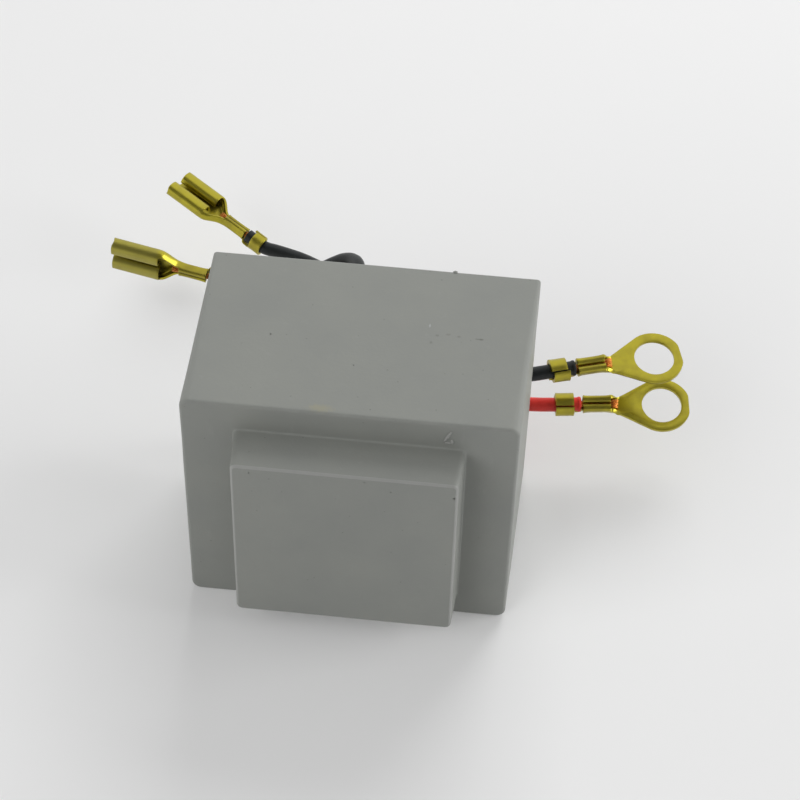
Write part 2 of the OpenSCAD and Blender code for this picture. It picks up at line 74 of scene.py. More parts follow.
# Route of each lead from its exit, in millimetres
ROUTES = (
    ((0, 0, 0), (0, 2.4, 0), (0.1, 4.8, 0), (0.2, 7.1, -0.1), (-0.1, 9.4, -0.4), (-1, 11.3, -1.2),
     (-2.5, 12.5, -2.3), (-4.2, 12.9, -3.6), (-6.1, 12.8, -4.9), (-8.3, 12.3, -6), (-10.7, 11.5, -6.7),
     (-13.2, 10.5, -7), (-15.6, 9.5, -6.9), (-18.2, 8.8, -6.4), (-21, 8.4, -5.8), (-24.7, 8.9, -5.4)),
    ((0, 0, 0), (-0.1, 2.9, -0.2), (-0.7, 5.3, -1.9), (-1.6, 8.2, -4.4), (-2.5, 11, -7), (-3.4, 13.7, -9.6),
     (-4.4, 16.4, -12.2), (-5.5, 19.1, -14.8), (-6.7, 21.8, -17.4), (-8.2, 24.6, -19.8), (-10.2, 27.5, -22.1),
     (-12.6, 30.3, -23.9), (-14.8, 32.4, -25), (-16.9, 34.1, -25.6), (-19.1, 35.5, -25.8),
     (-21.4, 36.6, -25.8), (-23.7, 37.3, -25.7), (-26, 37.8, -25.5), (-28.4, 38.3, -25.3),
     (-31.6, 40.1, -24.4)),
    ((0, 0, 0), (0, 2.1, 0), (0.3, 4.4, 0.2), (1.5, 6.5, 0.8), (3.6, 7.9, 1.6), (6.2, 8.5, 2.6),
     (8.9, 8.3, 3.7), (11.6, 7.6, 4.9), (14.2, 6.6, 6.1), (16.8, 5.5, 7.3), (19.4, 4.4, 8.5), (22, 3.4, 9.6),
     (24.6, 2.7, 10.5), (27.2, 2.3, 11.1), (29.8, 2.4, 11.4), (32.2, 3, 11.6), (36.3, 4.3, 11.7)),
    ((0, 0, 0), (0, 2.1, 0), (0.3, 4.3, 0.1), (1.6, 6.2, 0.3), (3.6, 7.5, 0.7), (6, 8, 1.1), (8.5, 7.7, 1.6),
     (10.9, 6.9, 2.1), (13.3, 5.8, 2.5), (15.7, 4.7, 2.8), (18.1, 3.8, 3), (20.6, 3.3, 3.2), (23.2, 3.3, 3.3),
     (25.8, 3.5, 3.4), (29.9, 4, 3.5)),
)
# Turn of each terminal about its own lead, in degrees
ROLLS = (-103, 24, 11, 15)
# How far one wing of each insulation crimp is set behind the other, in millimetres
STAGGERS = (0.45, 0.45, 0.45, 0.1)
# Swollen end of a ring lead's insulation: share of the overhang, and share of the lead's width
SWELL = ((0.4, 1.1), (0.8, 1.08), (1, 0.86))
# Each push-on receptacle: width of the flat on its rolls in millimetres, how much handling has dulled it,
# and its twist against the crimps in degrees
RECEPTACLES = ((0.66, 0.65, 0), (0.45, 0.08, -12))
# Leads that end in each kind of terminal
PUSH_ONS, RINGS = (0, 1), (2, 3)

# Steps of a half profile: across the floor, round its corner, up the wall and round the curl
FLOOR_SHARES = (0, 0.11, 0.22, 0.33, 0.65, 1)
FLOOR, CORNER, WALL, CURL = 5, 10, 13, 25
# Degrees round a half profile: half the insulation crimp's floor, the tip of its wing, the end of the wire
# crimp's curl, the top of a push-on's neck walls, and the end of its rolls
GRIP_FLOOR, WING_TIP, CURL_END, NECK_TOP, ROLL_END = 32, 87, 235, 40, 194
# Millimetres: room between the wire crimp's curls, and between the strands and the sheet; how much wider the
# insulation crimp is at its two ends; how far in the wire crimp's bell mouths reach
CURL_GAP, STRAND_GAP, FLARE, BELL_REACH = 0.04, 0.06, 0.06, 0.6
# Shares of the sheet's thickness: bend at the wire crimp's corners, and width of the eased edges
CORNER_BEND, EASED_EDGE = 0.75, 0.16
# Edges of a terminal that are sharper than this are eased
SHARP = math.radians(50)
# Strip between the crimps: millimetres before the wire crimp, and share of the wire crimp's profile
STRIP = ((0.48, 0), (0.32, 0.3), (0.16, 0.7))
# Stations of a receptacle: millimetres after its start, and before its end
AFTER_START, BEFORE_END = (0, 0.7), (1.6, 0.9, 0.45, 0)
# Where the darker, duller brass towards the crimps has faded and where it is full, in millimetres along a
# terminal
CRIMP_DARKENING_FADE = (6.2, 4.8)
# Half the length over which the dulled brass begins, in millimetres
DULLED_FADE = 0.5

# Twisted strands: layers as reach in wire radii and count of wires, and the bundle's radius in wire radii
LAYERS, BUNDLE = ((0, 1), (2.05, 6), (4.05, 12)), 5.2
# Twisted strands: stations, turns along the bundle, where its splay begins and how far it goes, uneven ends
STRAND_STATIONS, LAY, SPLAY_FROM, SPLAY, UNEVEN = 9, 0.55, 0.7, 3.3, 4

# Marks on the resin: place and reach in millimetres, colour, and how much it covers
MARKS = (
    ((17.5, 5.3, 44.5), (0.8, 0.25, 1), (0.1, 0.1, 0.09), 0.75),
    ((10.1, 3.8, 44.5), (0.35, 0.35, 1), (0.13, 0.13, 0.12), 0.45),
    ((10.9, 5.4, 44.5), (0.35, 0.3, 1), (0.13, 0.13, 0.12), 0.45),
    ((12.6, 5.8, 44.5), (0.45, 0.3, 1), (0.15, 0.14, 0.13), 0.4),
    ((14.2, 5.5, 44.5), (0.4, 0.25, 1), (0.13, 0.13, 0.12), 0.45),
    ((9.6, 7.4, 44.5), (0.16, 0.5, 1), (0.46, 0.46, 0.48), 0.7),
    ((-4.9, -11.9, 44.4), (2.4, 1, 1), (0.36, 0.33, 0.19), 0.35),
    ((8.1, -14.2, 39.75), (0.14, 0.8, 0.5), (0.42, 0.43, 0.44), 0.6),
)
# Air holes: place, radius and depth in millimetres
PITS = (
    ((16.1, -19.9, 35.9), 0.36, 0.5), ((-14.4, -19.9, 37.4), 0.24, 0.25), ((2.8, -19.9, 37.8), 0.22, 0.25),
    ((6.5, -19.9, 36.1), 0.2, 0.2), ((-14.2, 2.6, 44.5), 0.24, 0.25), ((-1.1, -2.5, 44.5), 0.18, 0.15),
    ((-15, 19.9, 30), 0.3, 0.25), ((12, 19.9, 16), 0.22, 0.2), ((-9, 19.9, 12), 0.2, 0.2),
    ((18, 19.9, 36), 0.26, 0.2), ((3, 19.9, 24), 0.2, 0.2), ((-20, 19.9, 8), 0.2, 0.2),
)
# Strokes of the raised mould number on the front face, in millimetres across and up
STROKES = (
    ((14.85, 43.05), (13.8, 40.75)),
    ((13.85, 40.65), (15.05, 40.6)),
    ((14.9, 41.35), (14.98, 40.45)),
)
# Ends of the bit of flash left on the top edge of the pour face, in millimetres
FLASH = ((12.1, 19.75, 44.4), (12.8, 19.75, 44.5))
# Radius of the number's strokes and of the flash in metres, and how much they are painted paler, for rubbing
# and a painted highlight
NUMBER_RIDGE, FLASH_RIDGE = (0.27 * MM, 0.8), (0.28 * MM, 0.4)
# Ripples of the casting's unevenness in a metre
RIPPLES = 140

# Lamps: name, place and width in metres, and whether shiny surfaces show them
LAMPS = (
    ("key", (0.15, 0.74, 0.62), 0.6, False),
    ("fill", (-0.61, -0.61, 0.51), 0.8, False),
    ("side", (0.95, 0.05, 0.32), 0.6, True),
)


# Settings


def length(name, text, millimetres):
    """Property for one size, given in millimetres."""
    return FloatProperty(name=name, description=text, default=millimetres * MM, unit="LENGTH", precision=5)


def colour(name, text, value):
    """Property for one colour, as linear red, green and blue."""
    return FloatVectorProperty(name=name, description=text, subtype="COLOR", size=3, min=0, max=1,
                               default=value)


def angle(name, text, radians):
    """Property for one angle."""
    return FloatProperty(name=name, description=text, default=radians, subtype="ANGLE")


def number(name, text, value, unit="NONE"):
    """Property for one plain number or power."""
    return FloatProperty(name=name, description=text, default=value, unit=unit)


class BlockSettings(bpy.types.PropertyGroup):
    """Sizes and colours of the cast resin block."""

    width: length("Width", "Width of the block", (BLOCK_HIGH.x - BLOCK_LOW.x) / MM)
    height: length("Height", "Height of the block", BLOCK_HIGH.z / MM)
    pour_y: length("Pour face", "Place of the face that the leads leave", BLOCK_HIGH.y / MM)
    boss_y: length("Boss face", "Place of the boss's front face", BLOCK_LOW.y / MM)
    taper: length("Taper", "How far the right side draws in from the pour face to the front", 1)
    boss_depth: length("Boss depth", "How far the boss stands out of the block", 7)
    boss_width: length("Boss width", "Width of the boss at its foot", 35)
    boss_height: length("Boss height", "Height of the boss at its foot", 35)
    boss_left: length("Boss shift", "How far the boss sits to the left of the block's middle", 0.4)
    boss_drop: length("Boss drop", "How far the boss sits below the block's middle", 0.5)
    boss_draft: length("Boss draft", "How far each side of the boss slopes in", 0.45)
    margin: length("Margin", "Width of the first ring of faces inside the front face", 0.2)
    corner: length("Corner radius", "Radius of the block's corners at the front", 1.5)
    rear_corner: length("Rear corner radius", "Radius of the block's corners at the pour face", 0.6)
    front_edge: length("Front edge radius", "Radius of the edges round the front face", 0.5)
    pour_edge: length("Pour edge radius", "Radius of the edges round the pour face", 0.35)
    boss_corner: length("Boss corner radius", "Radius of the boss's corners", 1)
    boss_edge: length("Boss edge radius", "Radius of the edges round the boss's face", 0.45)
    cove: length("Cove radius", "Radius of the cove at the boss's foot", 0.3)
    cell: length("Cell", "Width of the mesh cells that carry the casting's unevenness", 1.6)
    wave: length("Unevenness", "Height of the casting's unevenness", 0.035)
    resin: colour("Resin", "Colour of the resin", (0.272, 0.28, 0.258))
    shade: colour("Dull resin", "Colour of the resin's darker clouds", (0.248, 0.257, 0.24))
    # Paler colour of the scuffs and of the edges, which paints both their wear and a painted highlight on the
    # rounded edges and the cove
    worn_and_highlit: colour("Worn edge", "Colour of the resin's rubbed edges", (0.38, 0.38, 0.37))


class LeadSettings(bpy.types.PropertyGroup):
    """Sizes and colours of the leads and their strands."""

    diameter: length("Diameter", "Outer diameter of a lead", 2.4)
    embed: length("Held length", "Length of insulation held in the resin", 2.8)
    overhang: length("Overhang", "How far the insulation of a ring's lead reaches past its mark", 0.7)
    conductor: length("Conductor", "Diameter of the bare strands together", 1)
    brush: length("Brush", "Length of the strands past the wire crimp", 1.2)
    tag_start: length("Tag", "Place of the rail's face where the strands begin", 14.3)
    tuck: length("Tuck", "How far the strands reach into the insulation", 0.2)
    splay: number("Splay", "How much the strands splay past the wire crimp, from 0 to 1", 0.8)
    black: colour("Dark insulation", "Colour of the dark insulation", (0.009, 0.011, 0.011))
    red: colour("Bright insulation", "Colour of the red insulation", (0.74, 0.042, 0.032))
    copper: colour("Copper", "Colour of the bare strands", (0.8, 0.3, 0.07))


class CrimpSettings(bpy.types.PropertyGroup):
    """Sizes that both kinds of terminal share, measured along the lead from the end of its insulation."""

    slack: length("Slack", "Room between the insulation and its crimp", 0.15)
    wire_length: length("Wire crimp", "Length of the wire crimp", 4.7)
    shoulder: length("Shoulder", "Height of the wire crimp's curls above the lead's axis", 0.42)
    bell: length("Bell mouth", "How far the wire crimp opens at its two ends", 0.12)
    seam: angle("Seam", "Turn of the insulation crimp's seam on a ring terminal", math.radians(22))
    brass: colour("Brass", "Colour of the terminals", (0.46, 0.4, 0.042))
    # Darker, duller brass of the clouds, which grow thicker towards the crimps
    darker_brass: colour("Tarnish", "Colour of the terminals' duller clouds", (0.3, 0.25, 0.045))


class PushOnSettings(bpy.types.PropertyGroup):
    """Sizes of the push-on terminals."""

    sheet: length("Sheet", "Thickness of the sheet", 0.4)
    grip_start: length("Insulation crimp start", "Where the insulation crimp begins", -3.6)
    grip_end: length("Insulation crimp end", "Where the insulation crimp ends", -0.9)
    wire_start: length("Wire crimp start", "Where the wire crimp begins", 0.5)
    crimp_width: length("Crimp width", "Width of the wire crimp", 1.9)
    width: length("Width", "Width of the receptacle", 7.4)
    roll: length("Roll radius", "Outer radius of the rolled sides", 1.25)
    start: length("Receptacle start", "Where the receptacle begins", 8.6)
    end: length("Receptacle end", "Where the receptacle ends", 16.6)
    chamfer: length("Mouth chamfer", "Chamfer at the mouth's corners", 0.2)
    dimple: length("Dimple", "Radius of the locking dimple", 0.8)
    dimple_height: length("Dimple height", "Height of the locking dimple", 0.3)
    dulled: colour("Dulled brass", "Colour of the receptacle, which handling has dulled", (0.36, 0.325, 0.09))


class RingSettings(bpy.types.PropertyGroup):
    """Sizes of the ring terminals."""

    sheet: length("Sheet", "Thickness of the sheet", 0.6)
    grip_start: length("Insulation crimp start", "Where the insulation crimp begins", -3.7)
    grip_end: length("Insulation crimp end", "Where the insulation crimp ends", -0.5)
    wire_start: length("Wire crimp start", "Where the wire crimp begins", 1)
    crimp_width: length("Crimp width", "Width of the wire crimp", 2.7)
    cheek_end: length("Cheek end", "Where the crimp's cheeks have opened flat", 7.4)
    neck_width: length("Neck width", "Width of the neck where the cheeks have opened flat", 3.3)
    middle: length("Stud hole", "Distance to the middle of the stud hole", 14.4)
    outer: length("Ring radius", "Outer radius of the ring", 4.9)
    hole: length("Hole radius", "Radius of the stud hole", 3.35)
    tip_cut: length("Tip cut", "How much the flat tip cuts off the ring", 0.3)
    twist: angle("Twist", "Turn of the crimps against the flat tongue", math.radians(16))
    shoulder: angle("Shoulder", "Angle from the tip where the neck meets the ring", math.radians(119))


class CoilSettings(bpy.types.PropertyGroup):
    """Colours of the core and coil inside the resin."""

    steel: colour("Steel", "Colour of the laminations", (0.33, 0.34, 0.36))
    nylon: colour("Bobbin", "Colour of the bobbin", (0.78, 0.76, 0.7))
    enamel: colour("Enamelled wire", "Colour of the windings", (0.5, 0.19, 0.07))
    film: colour("Film", "Colour of the tape and barrier", (0.66, 0.5, 0.13))
    tin: colour("Tin", "Colour of the tags and solder", (0.56, 0.56, 0.54))


class StageSettings(bpy.types.PropertyGroup):
    """Camera, lamps and floor."""

    eye: FloatVectorProperty(name="Eye", description="Place of the camera", subtype="TRANSLATION",
                             unit="LENGTH", default=(0.025232, -0.23405, 0.28445))
    yaw: angle("Yaw", "Turn of the camera to the right", -0.0822)
    pitch: angle("Pitch", "Tilt of the camera down", 0.8153)
    roll: angle("Roll", "Turn of the camera about its view", 0.0305)
    lens: number("Lens", "Focal length in millimetres", 99.72)
    sensor: number("Sensor", "Width of the sensor in millimetres", 36)
    key: number("Key lamp", "Power of the lamp behind the part", 5.0, "POWER")
    fill: number("Fill lamp", "Power of the lamp before the part", 3.9, "POWER")
    side: number("Side lamp", "Power of the lamp at the right", 4.6, "POWER")
    aim: length("Aim", "Height on the part that the lamps point at", 20)
    sky: number("Sky", "Strength of the even light", 0.3)
    floor: colour("Floor", "Colour of the floor", (0.8, 0.8, 0.8))
    lift: number("Lift", "How much paler the floor looks than it lights", 0.1)
    backdrop: colour("Backdrop", "Colour of the floor far from the part", (0.82, 0.82, 0.82))
    fade_start: length("Fade start", "Where the floor begins to fade into the backdrop", 320)
    fade_end: length("Fade end", "Where the floor has faded into the backdrop", 800)
    card: colour("Card", "Colour of the dark card behind the camera", (0.25, 0.25, 0.25))
    card_size: length("Card size", "Half the width of the card", 600)
    card_away: number("Card distance", "Distance of the card as a multiple of the camera's", 1.6)
    reach: length("Floor size", "Half the width of the floor", 2500)


# Finishes


class Value:
    """Output of a node. Arithmetic on it adds Math nodes to its finish."""

    def __init__(self, finish, output):
        self.finish = finish
        self.output = output

    def math(self, operation, first, second):
        return self.finish.node("Math", {"operation": operation}, {0: first, 1: second})

    def __add__(self, other):
        return self.math("ADD", self, other)

    def __radd__(self, other):
        return self.math("ADD", other, self)

    def __sub__(self, other):
        return self.math("SUBTRACT", self, other)

    def __rsub__(self, other):
        return self.math("SUBTRACT", other, self)

    def __mul__(self, other):
        return self.math("MULTIPLY", self, other)

    def __rmul__(self, other):
        return self.math("MULTIPLY", other, self)

    def __lt__(self, other):
        return self.math("LESS_THAN", self, other)


class Nodes:
    """Node tree, built from node() calls and arithmetic on their results."""

    def __init__(self, tree):
        self.tree = tree

    def node(self, kind, settings=None, sockets=None, out=0):
        """Adds a node: its settings first, then the values or links of its sockets. Gives one output."""
        made = self.tree.nodes.new("ShaderNode" + kind)
        for key, value in (settings or {}).items():
            setattr(made, key, value)
        for key, value in (sockets or {}).items():
            if isinstance(value, Value):
                self.tree.links.new(value.output, made.inputs[key])
            else:
                made.inputs[key].default_value = value
        return Value(self, made.outputs[out])

    def feed(self, value, target, socket):
        self.tree.links.new(value.output, target.inputs[socket])

    def seen(self):
        """1 where the camera, a shiny surface or a clear one looks, 0 where light is gathered."""
        camera, shiny, clear = (self.node("LightPath", out=f"Is {kind} Ray")
                                for kind in ("Camera", "Glossy", "Transmission"))
        return camera.math("MAXIMUM", camera, shiny.math("MAXIMUM", shiny, clear))


class Finish(Nodes):
    """One node material."""

    def __init__(self, name, **constants):
        self.material = bpy.data.materials.new(name)
        self.material.use_nodes = True
        super().__init__(self.material.node_tree)
        self.shader = self.tree.nodes["Principled BSDF"]
        for socket, value in constants.items():
            self.shader.inputs[socket.replace("_", " ").title().replace("Ior", "IOR")].default_value = value

    def place(self, matrix=None):
        """Object coordinates, or those of a part's own frame within them."""
        here = self.node("TexCoord", out="Object")
        if matrix is None:
            return here
        return self.node("Mapping", {"vector_type": "TEXTURE"},
                         {"Vector": here, "Location": matrix.to_translation(), "Rotation": matrix.to_euler()})

    def stretch(self, here, scale):
        return self.node("VectorMath", {"operation": "MULTIPLY"}, {0: here, 1: scale})

    def part_of(self, here, axis):
        return self.node("SeparateXYZ", sockets={"Vector": here}, out=axis)

    def distance(self, here):
        """Distance from the middle of the coordinates."""
        return self.node("VectorMath", {"operation": "LENGTH"}, {0: here}, out="Value")

    def clouds(self, here, size, detail, roughness=0.55):
        """Noise from 0 to 1 with features of about one size, in metres."""
        return self.node("TexNoise", sockets={"Vector": here, "Scale": 1 / size, "Detail": detail,
                                              "Roughness": roughness})

    def sharpen(self, value, low, high):
        """Stretches the part of a value between two limits to the range from 0 to 1."""
        return self.node("MapRange", {"clamp": True},
                         {"Value": value, "From Min": low, "From Max": high, "To Min": 0.0, "To Max": 1.0})

    def mix(self, factor, first, second):
        sockets = {0: factor, 6: first, 7: second}
        for key in (6, 7):
            if not isinstance(sockets[key], Value):
                sockets[key] = (*sockets[key], 1)
        return self.node("Mix", {"data_type": "RGBA"}, sockets, out=2)

    def dress(self, base, roughness, height, depth):
        """Feeds the shader: colour, roughness, and a bump of a height pattern at a depth in metres."""
        bump = self.node("Bump", sockets={"Strength": 1.0, "Distance": depth, "Height": height})
        for value, socket in ((base, "Base Color"), (roughness, "Roughness"), (bump, "Normal")):
            self.feed(value, self.shader, socket)
        return self.material


def toned(tint, factor):
    """Colour made darker or paler by a factor."""
    return [factor * c for c in tint]


def resin_finish(s):
    """Cast resin: cloudy grey with a fine grain and a few marks, painted paler along its edges: rubbing, and
    a painted highlight on the rounded edges.
    """
    f = Finish("cast_resin", specular_ior_level=0.5)
    here = f.place()
    clouds = f.clouds(here, 0.011, 5)
    grain = f.clouds(here, 0.0006, 3)
    scuffs = f.sharpen(f.clouds(f.stretch(here, (1, 1, 0.25)), 0.0022, 6, 0.7), 0.6, 0.75)
    # Edges painted paler: wear, and a painted highlight along the rounded edges and in the cove at the boss's
    # foot
    rim = f.node("Attribute", {"attribute_name": "rim"}, out="Fac")
    rubbed_and_highlit = f.sharpen(rim + (f.clouds(here, 0.0018, 4) - 0.5) * 0.5, 0.3, 1.0)
    # Small pinholes: sunk in the bump, and darkened with painted shade inside them
    shaded_pinholes = f.node("TexVoronoi", sockets={"Vector": here, "Scale": 420.0}) < 0.05
    base = f.mix(f.sharpen(clouds, 0.3, 0.7), s.shade, s.resin)
    base = f.mix(scuffs * 0.14, base, s.worn_and_highlit)
    base = f.mix(rubbed_and_highlit * 0.6, base, s.worn_and_highlit)
    base = f.mix(shaded_pinholes * 0.35, base, toned(s.shade, 0.5))
    ragged = (f.clouds(here, 0.0004, 3) - 0.5) * 1.2
    for place, reach, tint, share in MARKS:
        away = f.node("VectorMath", {"operation": "SUBTRACT"}, {0: here, 1: Vector(place) * MM})
        away = f.distance(f.stretch(away, [1 / (r * MM) for r in reach]))
        base = f.mix(f.sharpen(away + ragged, 1.0, 0.3) * share, base, tint)
    height = clouds * 0.6 + grain * 0.25 - shaded_pinholes * 0.5
    return f.dress(base, 0.44 + clouds * 0.14 - rubbed_and_highlit * 0.08, height, 0.0001)


def insulation_finish(name, tint):
    """Extruded plastic: satin, with faint lengthwise dulling and grime."""
    f = Finish(name, specular_ior_level=0.3)
    here = f.place()
    grime = f.clouds(here, 0.0035, 5)
    grain = f.clouds(here, 0.00025, 2)
    base = f.mix(f.sharpen(grime, 0.35, 0.75), tint, [1.3 * c + 0.006 for c in tint])
    return f.dress(base, 0.3 + grime * 0.22, grain + grime, 0.00003)


def brass_finish(name, s, matrix, dulled=None):
    """Stamped brass: rolling streaks along the terminal, soft dents, and darker, duller clouds that thicken
    towards the crimps.

    The brass beyond a place along the terminal may be dulled: that place, the colour there and its share.
    """
    f = Finish(name, metallic=1.0)
    here = f.place(matrix)
    streaks = f.clouds(f.stretch(here, (0.06, 1, 1)), 0.0004, 3)
    clouds = f.clouds(here, 0.0026, 4)
    dents = f.clouds(here, 0.0016, 2)
    along = f.part_of(here, "X")
    # Darker and duller towards the crimps
    crimped = f.sharpen(along, *(x * MM for x in CRIMP_DARKENING_FADE))
    dull = f.sharpen(clouds + crimped * 0.16, 0.42, 0.78)
    base = f.mix(dull * 0.75, s.brass, s.darker_brass)
    base = f.mix(streaks * 0.12, base, toned(s.brass, 1.25))
    roughness = 0.24 + dull * 0.1 + streaks * 0.08
    if dulled:
        start, tint, share = dulled
        handled = f.sharpen(along, start - DULLED_FADE * MM, start + DULLED_FADE * MM) * share
        base = f.mix(handled, base, tint)
        roughness = roughness + handled * 0.22
    return f.dress(base, roughness, streaks * 0.15 + dents, 0.000008)


def copper_finish(s):
    """Bare copper wire, brighter and browner in turn."""
    f = Finish("bare_copper", metallic=1.0)
    here = f.place()
    clouds = f.clouds(here, 0.0006, 4)
    base = f.mix(clouds, s.copper, toned(s.copper, 0.6))
    return f.dress(base, 0.22 + clouds * 0.2, clouds, 0.00002)


def banded_finish(name, tint, axis, pitch, metallic, roughness, depth):
    """Stacked sheets or wound turns: one dark line at each step along an axis, a joint between sheets and
    painted shade in the groove between turns, with cloudy sheets between.
    """
    f = Finish(name, metallic=metallic)
    here = f.place()
    along = f.part_of(here, axis) * (1 / pitch)
    step = f.node("Math", {"operation": "PINGPONG"}, {0: along, 1: 0.5}) * 2
    clouds = f.clouds(here, 0.003, 5)
    # Dark at each step: the joint between laminations, and painted shade in the groove between wound turns
    crown = f.sharpen(step, 0.0, 0.35)
    base = f.mix(crown, toned(tint, 0.35), tint)
    base = f.mix(f.sharpen(clouds, 0.5, 0.8) * 0.4, base, toned(tint, 0.7))
    return f.dress(base, roughness + clouds * 0.2, crown + clouds * 0.3, depth)


def cloudy_finish(name, tint, metallic, roughness, size, depth):
    """Moulded, wrapped or soldered surface with soft clouds of two sizes."""
    f = Finish(name, metallic=metallic)
    here = f.place()
    clouds = f.clouds(here, size, 5)
    fine = f.clouds(here, size / 9, 3)
    base = f.mix(f.sharpen(clouds, 0.3, 0.75), tint, toned(tint, 0.78))
    return f.dress(base, roughness + clouds * 0.18, clouds + fine * 0.4, depth)


def floor_finish(s):
    """Plain pale paper that fades into an even backdrop away from the part."""
    f = Finish("pale_paper", specular_ior_level=0.2, emission_strength=1.0)
    here = f.place()
    clouds = f.clouds(here, 0.05, 3)
    seen = f.seen()
    far = f.sharpen(f.distance(here), s.fade_start, s.fade_end) * seen
    base = f.mix(clouds, s.floor, toned(s.floor, 0.985))
    base = f.mix(far, base, (0, 0, 0))
    glow = f.mix(far, (s.lift, s.lift, s.lift), s.backdrop)
    f.feed(f.mix(seen, (0, 0, 0), glow), f.shader, "Emission Color")
    return f.dress(base, 0.85 + clouds * 0.1, clouds, 0.00002)


# Finishes of the core and coil: how each is made, its name, its colour, its CAD nodes and its values
INNER_FINISHES = (
    (banded_finish, "laminated_steel", "steel", ("e_laminations", "i_laminations"),
     {"axis": "Y", "pitch": 0.5 * MM, "metallic": 1.0, "roughness": 0.35, "depth": 0.00006}),
    (banded_finish, "primary_turns", "enamel", ("primary_winding",),
     {"axis": "Z", "pitch": 0.25 * MM, "metallic": 0.6, "roughness": 0.25, "depth": 0.00006}),
    (banded_finish, "secondary_turns", "enamel", ("secondary_winding",),
     {"axis": "Z", "pitch": 0.6 * MM, "metallic": 0.6, "roughness": 0.25, "depth": 0.00015}),
    (cloudy_finish, "moulded_bobbin", "nylon", ("bobbin",),
     {"metallic": 0.0, "roughness": 0.42, "size": 0.006, "depth": 0.00004}),
    (cloudy_finish, "wrapped_film", "film", ("winding_barrier", "coil_tape"),
     {"metallic": 0.0, "roughness": 0.2, "size": 0.009, "depth": 0.00005}),
    (cloudy_finish, "tinned_tags", "tin", ("solder_tags", "solder_joints"),
     {"metallic": 1.0, "roughness": 0.25, "size": 0.0015, "depth": 0.00006}),
)


# Shaping


def add_object(name, data):
    """New object in the scene."""
    made = bpy.data.objects.new(name, data)
    bpy.context.scene.collection.objects.link(made)
    return made


def add_mesh(name, bm, finish):
    """New object with the mesh made so far and one finish."""
    mesh = bpy.data.meshes.new(name)
    bm.to_mesh(mesh)
    bm.free()
    mesh.materials.append(finish)
    return add_object(name, mesh)


def settle(name, bm, finish, slot, *nodes, modifiers=()):
    """Makes a mesh into a piece: smooth, finished, riding on the part, in place of its CAD nodes."""
    piece = add_mesh(name, bm, finish)
    piece.data.shade_smooth()
    for kind, values in modifiers:
        modifier = piece.modifiers.new(kind.title(), kind)
        for key, value in values.items():
            setattr(modifier, key, value)
    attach(piece, "root")
    if nodes:
        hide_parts(*nodes)


def lead_path(n, embed):
    """Points of one lead in metres: its tail in the resin, then its route."""
    start = Vector(EXITS[n])
    return [start * MM - Vector((0, embed, 0))] + [(start + Vector(p)) * MM for p in ROUTES[n]]


def lead_end(n):
    """Frame at the end of one lead: X along the lead, Z towards the crimps' seams."""
    last, before = (Vector(EXITS[n]) + Vector(ROUTES[n][k]) for k in (-1, -2))
    ahead = (last - before).normalized()
    return (Matrix.Translation(last * MM) @ Matrix.Rotation(math.atan2(ahead.y, ahead.x), 4, "Z")
            @ Matrix.Rotation(-math.asin(ahead.z), 4, "Y") @ Matrix.Rotation(math.radians(ROLLS[n]), 4, "X"))


def arc(middle, radius, start, end, steps):
    """Points on an arc in the plane across a terminal, without the first; angles in degrees."""
    turns = (math.radians(start + (end - start) * k / steps) for k in range(1, steps + 1))
    return [(middle[0] + radius * math.cos(a), middle[1] + radius * math.sin(a)) for a in turns]


def line(first, last, steps):
    """Points on a line, without the first."""
    return [tuple(a + (b - a) * k / steps for a, b in zip(first, last)) for k in range(1, steps + 1)]


def eased(share):
    """Share from 0 to 1 that starts and ends softly."""
    return share * share * (3 - 2 * share)


def blend(first, last, share):
    """Profile between two others, eased at both."""
    return [tuple(a + (b - a) * eased(share) for a, b in zip(p, q)) for p, q in zip(first, last)]


def row(bm, points, closed=False):
    """Vertices joined by edges into one row."""
    verts = [bm.verts.new(p) for p in points]
    pairs = list(zip(verts, verts[1:])) + ([(verts[-1], verts[0])] if closed else [])
    return [bm.edges.new(pair) for pair in pairs]


def loft(bm, rows):
    """Bridges rows of points into one strip of sheet."""
    made = [row(bm, points) for points in rows]
    for near, beyond in zip(made, made[1:]):
        bmesh.ops.bridge_loops(bm, edges=near + beyond)


def both_sides(x, half, last):
    """Row across a terminal at one station: its half profile up to a point, on both sides of the middle."""
    span = half[:last + 1]
    return [(x, -y, z) for y, z in reversed(span[1:])] + [(x, y, z) for y, z in span]


def strip(bm, stations, last):
    """Strip of sheet through half profiles at stations along a terminal."""
    loft(bm, [both_sides(x, half, last) for x, half in stations])


def open_out(bm, start, end, first, last, steps):
    """Strip of sheet between two places whose half profile turns from one into another."""
    shares = [k / steps for k in range(steps + 1)]
    strip(bm, [(start + (end - start) * share, blend(first, last, share)) for share in shares], WALL)


def floor_points(width, z):
    """Points of a half profile along a flat floor."""
    return [(width * share, z) for share in FLOOR_SHARES]


def wire_half(c, s, floor_z, bell):
    """Half profile of the wire crimp, along the middle of its sheet."""
    reach = s.crimp_width / 2 - s.sheet / 2 + bell
    corner = CORNER_BEND * s.sheet
    curl = (reach - s.sheet / 2 - CURL_GAP * MM) / 2
    low = floor_z - bell / 2
    points = floor_points(reach - corner, low)
    points += arc((reach - corner, low + corner), corner, -90, 0, CORNER - FLOOR)
    points += line((reach, low + corner), (reach, c.shoulder), WALL - CORNER)
    return points + arc((reach - curl, c.shoulder), curl, 0, CURL_END, CURL - WALL)


def grip_half(radius, reach):
    """Half profile of the insulation crimp up to an angle, along the middle of its sheet."""
    floor = [(radius * math.cos(math.radians(a)), radius * math.sin(math.radians(a)))
             for a in (GRIP_FLOOR * share - 90 for share in FLOOR_SHARES)]
    return floor + arc((0, 0), radius, GRIP_FLOOR - 90, reach, CURL - FLOOR)


